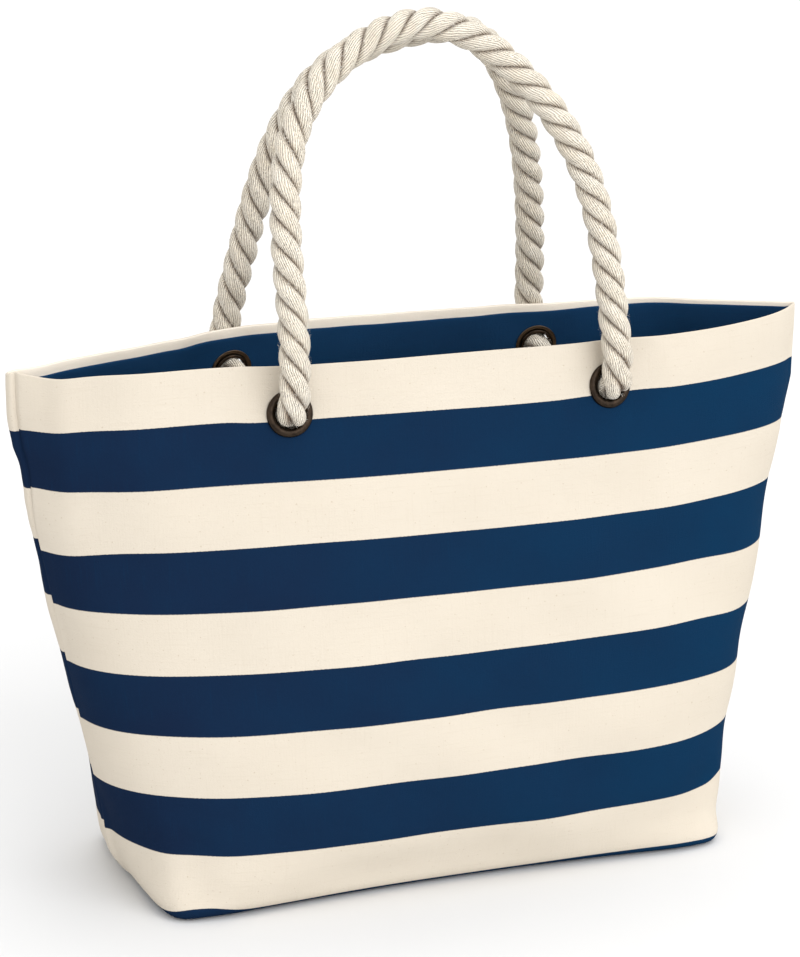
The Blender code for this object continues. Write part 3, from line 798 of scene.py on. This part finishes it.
def stripe_place(points, heights, shares, mouth, face):
    """The cloth's own measure down from the rim, which the stripes go by. The
    cloth hangs lower at the seams, and the back was cut with a small offset."""
    down = way_down(heights, mouth)[:, None] + 0 * points[..., 2]
    x, w = points[..., 0], np.abs(2 * shares[None, :] - 1)
    left = shares[None, :] < 0.5
    slip = np.where(left, 0.0045, 0.0038) * w ** 8
    if face > 0:
        offset = np.clip((down - 0.080) / 0.030, 0, 1) * 0.0052
        slip = slip - offset * w ** 6 * np.where(left, 1.0, 0.4)
    else:                                    # the print wanders a little on the front
        for at_x, at_v, wide, tall, size in (
                (-0.100, 0.115, 0.065, 0.060, 0.0016), (0.045, 0.030, 0.060, 0.025, -0.0016),
                (0.165, 0.290, 0.055, 0.060, -0.0026), (0.0, 0.285, 0.400, 0.045, -0.0012),
                (-0.255, 0.055, 0.026, 0.040, 0.0019), (-0.255, 0.115, 0.026, 0.026, -0.0030),
                (0.215, 0.200, 0.030, 0.050, -0.0030), (0.150, 0.356, 0.085, 0.016, 0.0040),
                (-0.180, 0.358, 0.022, 0.018, 0.0085), (0.200, 0.312, 0.010, 0.016, 0.0050)):
            slip = slip - size * hump(x, at_x, wide) * hump(down, at_v, tall)
    return down - slip


def near_eyelets(middles):
    """Which faces to leave out for the eyelets; flange and washer cover the edge."""
    hit = np.zeros(len(middles), bool)
    for side in (-1, 1):
        hit |= from_eyelet(middles[:, 0], middles[:, 2], side) < HOLE
    return hit


def closed_strip(verts, faces, uvs, count, columns):
    """Closes a cloth made as one strip that goes up outside and down inside:
    row k lies against row count - 1 - k. The strip's two ends, its side edges
    and the rims of the eyelet holes are joined through the cloth's thickness."""
    wide = columns - 1
    gone = near_eyelets(verts[faces].mean(axis=1)).reshape(count - 1, wide)
    gone = gone | gone[::-1]
    point_uv = np.zeros((count * columns, 2))
    point_uv[faces.reshape(-1)] = uvs.reshape(-1, 2)
    kept = faces[~gone.ravel()].tolist()
    coords = [uvs[~gone.ravel()].reshape(-1, 2)]

    ids = np.arange(count * columns).reshape(count, columns)
    # the base seam's edge, the side seams' edges, then the holes' rims
    extra = [[ids[0, j], ids[0, j + 1], ids[-1, j + 1], ids[-1, j]] for j in range(wide)]
    for j in (0, -1):
        for k in range(count // 2):
            quad = [ids[k, j], ids[k + 1, j], ids[-2 - k, j], ids[-1 - k, j]]
            if k + 1 == count - 2 - k:
                quad.pop(2)
            extra.append(quad)
    for i, j in zip(*np.nonzero(gone[:(count - 1) // 2])):
        for di, dj, a, b in ((-1, 0, (i, j), (i, j + 1)), (1, 0, (i + 1, j), (i + 1, j + 1)),
                             (0, -1, (i, j), (i + 1, j)), (0, 1, (i, j + 1), (i + 1, j + 1))):
            if not gone[i + di, j + dj]:
                extra.append([ids[a], ids[b], ids[-1 - b[0], b[1]], ids[-1 - a[0], a[1]]])
    return kept + extra, np.concatenate(coords + [point_uv[list(face)] for face in extra])


def panel(word, face, mouth, look):
    """A canvas panel as one closed strip: up the outside, over the rim, down
    the inside, with its half of the base at both ends."""
    fold = [BASE_FOLD * (1 - math.cos(t)) for t in np.radians(np.linspace(0, 90, 10))]
    heights = np.array(fold + list(np.linspace(BASE_FOLD, HEIGHT - CANVAS / 2, 150)[1:]))
    shares = share_columns(300)
    columns = len(shares)
    points, normal = panel_shape(face, mouth, heights, shares)
    place = stripe_place(points, heights, shares, mouth, face)
    rows, marks = list(points), list(place)
    half = CANVAS / 2
    for turn in np.radians((22.5, 45, 67.5, 90, 112.5, 135, 157.5)):      # folded rim
        lift = half * math.sin(turn)
        rows.append(points[-1] - normal[-1] * half * (1 - math.cos(turn)) + (0, 0, lift))
        marks.append(place[-1] - half * turn)
    inner = points - normal * CANVAS
    inner[..., 2] = np.maximum(inner[..., 2], CANVAS)
    rows, marks = np.array(rows + list(inner[::-1])), np.array(marks + list(place[::-1]))
    # half of the base: straight runs from the outline to the middle line
    edge, half_base = points[0], BASE_WIDTH / 2
    line_x = np.sign(2 * shares - 1) * np.minimum(1, np.abs(edge[:, 0]) / half_base)
    line_x *= half_base - 0.0006
    middle = np.stack([line_x, np.full(columns, 0.0002), np.zeros(columns)], axis=1)
    under = np.array([edge * (1 - t, 1 - t, 0) + middle * t for t in np.linspace(0, 1, 26)[1:]])
    cloth = np.concatenate([under[::-1], rows, under * (0.996, 1, 1) + (0, 0, CANVAS)])
    cloth[..., 1] *= face
    count, first, last = len(cloth), len(under), len(under) + len(rows) - 1
    blank = np.zeros(under.shape[:2])
    wall_v = np.concatenate([blank, marks, blank])
    reach = np.where(np.abs(edge[:, 0]) < 0.185, np.abs(edge[:, 1]), BASE_DEPTH / 2)
    base_v = way_down(heights, mouth)[0] + np.maximum(reach - np.abs(cloth[..., 1]), 0)
    wall_u = np.broadcast_to((shares - 0.5) * 2 * HALF_ROUND, wall_v.shape)
    row = np.repeat(np.arange(count - 1), columns - 1)[:, None, None]
    uvs = np.where((row < first) | (row >= last), face_corners(cloth[..., 0], base_v),
                   face_corners(wall_u, wall_v))
    if face > 0:
        uvs = uvs[:, ::-1]
    verts = cloth.reshape(-1, 3)
    faces, uvs = closed_strip(verts, grid_faces(count, columns, flip=face > 0), uvs, count, columns)
    made = mesh_object(f"{word}_canvas", verts, faces, look, uvs=uvs)
    # the print is on the outer skin only, and the inner skin gets painted light
    marked(made, "inside", np.repeat(np.arange(count) >= first + len(heights) + 5, columns))
    return made


def facing(word, face, mouth, look):
    """The navy band inside the rim. Its back, against the canvas, is left open."""
    top = HEIGHT - FACING_TOP
    heights = np.concatenate([[0.0], np.linspace(top - FACING_DEPTH, top, 34), [HEIGHT]])
    shares = share_columns(260)
    points, normal = (grid[1:-1] for grid in panel_shape(face, mouth, heights, shares))
    share = np.linspace(0, 1, len(points))[:, None] ** 3
    points[..., 2] += 0.0034 * eased((points[..., 0] - 0.03) / 0.20) * share
    wave = 0.0003 * bumps(points[..., 0], points[..., 2], 31 + face, 0.05)
    outer = points - normal * (CANVAS + 0.0001)
    inner = points - normal * (CLOTH + 0.0004 + wave)[..., None]
    for skin in (outer, inner):
        skin[..., 1] = np.maximum(skin[..., 1], 0.0004)
    rows = [outer[0]] + list(inner)
    marks = [FACING_DEPTH + 0.001] + list(np.linspace(FACING_DEPTH, 0, len(points)))
    half = (FACING + LAYER_GAP) / 2
    for turn in np.radians((30, 60, 90, 120, 150)):
        lift = half * 0.9 * math.sin(turn)
        rows.append(inner[-1] + normal[-1] * half * (1 - math.cos(turn)) + (0, 0, lift))
        marks.append(-half * turn)
    rows, marks = np.array(rows + [outer[-1]]), np.array(marks + [-half * math.pi])
    rows[..., 1] *= face
    verts = rows.reshape(-1, 3)
    faces = grid_faces(len(rows), len(shares), flip=face < 0)
    uvs = face_corners(*np.broadcast_arrays((shares - 0.5) * 2 * HALF_ROUND, marks[:, None]))
    if face < 0:
        uvs = uvs[:, ::-1]
    keep = ~near_eyelets(verts[faces].mean(axis=1))
    return mesh_object(f"{word}_facing_cloth", verts, faces[keep], look, uvs=uvs[keep].reshape(-1, 2))


canvas = canvas_look("striped_canvas")
navy = canvas_look("navy_facing", striped=False, plain=(0.0085, 0.0340, 0.0880),
                   dark=(0.0050, 0.0450, 0.1120), flecks=0)
for word, face, mouth in FACES:
    body = panel(word, face, mouth, canvas)
    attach(body, "bag")
    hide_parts(f"{word}_panel")
    band = facing(word, face, mouth, navy)
    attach(band, "bag")
    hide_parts(f"{word}_facing")


# ---- eyelets, washers and whippings ----
def turned(name, profile, place, look):
    """A closed ring turned round place's Z axis."""
    steps, profile = 96, np.array(profile)
    c, s = circle(steps)
    verts = np.stack([np.outer(c, profile[:, 0]), np.outer(s, profile[:, 0]),
                      np.tile(profile[:, 1], (steps, 1))], axis=2).reshape(-1, 3)
    verts = [tuple(place @ Vector(v)) for v in verts]
    faces = grid_faces(steps + 1, len(profile), closed=True) % len(verts)
    return mesh_object(name, verts, faces, look)


def eyelet_profile():
    bore, flange = EYELET_BORE / 2, EYELET_FLANGE / 2
    barrel = bore + EYELET_WALL
    washer_back = CLOTH + 2 * LAYER_GAP + 0.0010
    middle, half = (barrel + flange) / 2 - 0.0004, (flange - bore) / 2
    dome = [(middle + half * math.cos(a), LAYER_GAP + EYELET_DOME * math.sin(a) ** 0.8)
            for a in np.radians(np.linspace(158, 16, 19))]
    curl = [(barrel + 0.0008 - 0.0008 * math.cos(a), -washer_back - 0.0007 * math.sin(a))
            for a in np.radians(np.linspace(0, 180, 9))]
    lip = [(bore, -washer_back - 0.0002), (bore, -washer_back * 0.5), (bore, 0.0004)]
    return (lip + dome + [(flange, LAYER_GAP + 0.0003), (flange - 0.0006, LAYER_GAP),
                          (barrel + 0.0004, LAYER_GAP), (barrel, -washer_back)] + curl[1:]
            + [(barrel + 0.0010, -washer_back - EYELET_WALL),
               (bore + 0.0003, -washer_back - EYELET_WALL)])


def washer_profile():
    inner, front = EYELET_BORE / 2 + EYELET_WALL + 0.0003, -CLOTH - LAYER_GAP
    edge = [(WASHER_WIDE / 2 - 0.0004 + 0.0004 * math.cos(a), front - 0.0004 - 0.0004 * math.sin(a))
            for a in np.radians(np.linspace(-90, 90, 9))]
    return [(inner, front)] + edge + [(inner, front - 0.0008)]


def coiled(name, line, widths, look):
    """Thread wound round a rope's end, one turn tight against the next."""
    start, long = 0.0055, WHIPPING_LONG + 0.0006
    run = run_of(line)
    along = np.linspace(start, start + long, int(long / THREAD) * 28)
    middle = at_run(along, run, line)
    tangent, normal, side = rope_frames(middle)
    out = spun(normal, side, 2 * math.pi * (along - start) / THREAD)
    path = middle + out * (np.interp(along, run, widths) * 0.5 + THREAD * 0.45)[:, None]
    c, s = circle(8)
    skin = tube(path, out, tangent, c * THREAD * 0.53, s * THREAD * 0.53)
    return mesh_object(name, skin.reshape(-1, 3), capped(len(path), 8), look)


brass = brass_look("antique_brass", (0.018, 0.014, 0.011), (0.080, 0.054, 0.037))
steel = brass_look("washer_brass", (0.060, 0.044, 0.032), (0.190, 0.130, 0.085))
waxed = thread_look("waxed_thread", (0.62, 0.54, 0.42))
for word, face, mouth, line, widths in lines:
    for side, hand in ((-1, "left"), (1, "right")):
        place = eyelet_frame(side, face, mouth)
        ring = turned(f"{word}_{hand}_ring", eyelet_profile(), place, brass)
        disc = turned(f"{word}_{hand}_disc", washer_profile(), place, steel)
        step = 1 if (line[0][0] < 0) == (side < 0) else -1
        wound = coiled(f"{word}_{hand}_winding", line[::step], widths[::step], waxed)
        for made, node, look in ((ring, "eyelet", "eyelet_metal"), (disc, "washer", "washer_metal"),
                                 (wound, "whipping", "whipping_thread")):
            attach(made, "bag")
            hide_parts(f"{word}_{hand}_{node}")


# ---- seams and stitches ----
def binding(name, path, across, up, look, seed):
    """A seam allowance bound in tape: a soft flat band along path. across and up
    are the section's unit vectors."""
    across, up = (np.broadcast_to(way, path.shape) for way in (across, up))
    c, s = circle(TAPE_SIDES)
    flat_c = np.sign(c) * np.abs(c) ** 0.35 * SEAM_WIDTH / 2
    flat_s = np.sign(s) * np.abs(s) ** 0.45 * SEAM_THICK / 2
    dent = 1 - 0.22 * hump(flat_c / SEAM_WIDTH, -0.22, 0.07)      # the stitch line's groove
    run = run_of(path)
    wave = 1 + 0.05 * np.sin(run / 0.011 + seed) + 0.03 * np.sin(run / 0.0047 + 2 * seed)
    skin = tube(path, across, up, flat_c, flat_s * dent * wave[:, None])
    faces = capped(len(path), TAPE_SIDES)
    round_it = run_of(np.stack([flat_c, flat_s], axis=1))
    flat = np.stack([np.tile(round_it, len(path)), np.repeat(run, TAPE_SIDES)], axis=1)
    uvs = np.concatenate([flat[list(face)] for face in faces])
    return mesh_object(name, skin.reshape(-1, 3), faces, look, uvs=uvs)


def stitches(name, path, out, look):
    """A row of stitches on a surface: small threads that dive at both ends."""
    pitch, thick, rings, sides = 0.0034, 0.0003, 7, 6
    out = np.broadcast_to(out, path.shape)
    run = run_of(path)
    shape = np.linspace(0, 1, rings)
    c, s = circle(sides)
    verts, faces = [], []
    for start in np.arange(pitch * 0.5, run[-1] - pitch, pitch):
        at = start + shape * pitch * 0.80
        away = unit(at_run(at, run, out))
        mid = at_run(at, run, path) + away * (thick * (1.6 * np.sin(math.pi * shape) - 0.9))[:, None]
        cross = np.cross(unit(np.gradient(mid, axis=0)), away)
        faces += grid_faces(rings, sides, len(verts) * rings * sides, closed=True).tolist()
        verts.append(tube(mid, cross, away, c * thick, s * thick).reshape(-1, 3))
    return mesh_object(name, np.concatenate(verts), faces, look)


tape = canvas_look("seam_tape", striped=False, flecks=0)
cotton_thread = thread_look("sewing_thread", (0.74, 0.69, 0.60))
navy_thread = thread_look("navy_thread", (0.006, 0.024, 0.065), 0.0)
sides = seam_line(np.linspace(0.0060, HEIGHT - 0.012, 120))
low = CANVAS + SEAM_THICK / 2 + 0.0002
corner_x = BASE_WIDTH / 2 - CANVAS - 0.0006
for hand, index, side in (("left", 0, -1), ("right", 1, 1)):
    path = sides[:, index] - (side * (CANVAS + SEAM_WIDTH / 2 + 0.0004), 0, 0)
    band = binding(f"{hand}_side_tape", path, (-side, 0, 0), (0, 1, 0), tape, side + 2)
    rows = [stitches(f"{hand}_side_stitches_{n}", path + (side * STITCH_OFF, face * ON_TAPE, 0),
                     (0, face, 0), cotton_thread) for n, face in enumerate((-1, 1))]
    reach = np.linspace(-1, 1, 60) * (BASE_DEPTH / 2 - 0.012)
    path = np.stack([np.full(60, side * (corner_x - SEAM_WIDTH / 2)), reach, np.full(60, low)], axis=1)
    corner = binding(f"{hand}_corner_tape", path, (1, 0, 0), (0, 0, 1), tape, side + 5)
    rows.append(stitches(f"{hand}_corner_stitches", path + (side * STITCH_OFF, 0, ON_TAPE),
                         (0, 0, 1), cotton_thread))
    for made in [band, corner] + rows:
        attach(made, "bag")
    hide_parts(f"{hand}_side_seam")
    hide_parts(f"{hand}_corner_seam")
reach = (corner_x - SEAM_WIDTH - 0.0004) * np.linspace(-1, 1, 120)
path = np.stack([reach, np.zeros(120), np.full(120, low)], axis=1)
middle_tape = binding("base_tape", path, (0, 1, 0), (0, 0, 1), tape, 9)
middle_row = stitches("base_stitches", path + (0, -STITCH_OFF, ON_TAPE), (0, 0, 1), cotton_thread)
for made in (middle_tape, middle_row):
    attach(made, "bag")
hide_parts("base_seam")
for word, face, mouth in FACES:
    level = HEIGHT - FACING_TOP - FACING_DEPTH + 0.0030
    levels = np.array([level - 0.004, level, level + 0.004])
    points, normal = (grid[1, 2:-2] for grid in panel_shape(face, mouth, levels, share_columns(300)))
    path = (points - normal * (CLOTH + 0.0006)) * (1, face, 1)
    row = stitches(f"{word}_facing_stitches_0_0", path, -normal * (1, face, 1), navy_thread)
    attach(row, "bag")


# ---- floor and light ----
def stage():
    look = Nodes("floor")
    look.shader.inputs["Base Color"].default_value = (0.70, 0.70, 0.70, 1)
    look.shader.inputs["Roughness"].default_value = 0.9
    corners = [(-30, -30, 0), (30, -30, 0), (30, 30, 0), (-30, 30, 0)]
    floor = mesh_object("floor", corners, [(0, 1, 2, 3)], look.made)
    world = bpy.data.worlds.new("studio")
    world.use_nodes = True
    sky = world.node_tree.nodes["Background"]
    sky.inputs[0].default_value = (1, 1, 1, 1)
    sky.inputs[1].default_value = 0.88
    bpy.context.scene.world = world
    for name, place, angle, power in (("key", (0.62, -1.8, 1.1), 66, 1.90),
                                      ("fill", (-1.5, -1.2, 1.0), 80, 0.55),
                                      ("top", (0.5, 0.2, 2.0), 55, 1.20)):
        light = bpy.data.lights.new(name, "SUN")
        light.energy, light.angle = power, math.radians(angle)
        lamp = bpy.data.objects.new(name, light)
        lamp.location = place
        lamp.rotation_euler = (Vector((0, 0, 0.2)) - Vector(place)).to_track_quat("-Z", "Y").to_euler()
        bpy.context.scene.collection.objects.link(lamp)
    bpy.context.scene.view_settings.view_transform = "Standard"


stage()
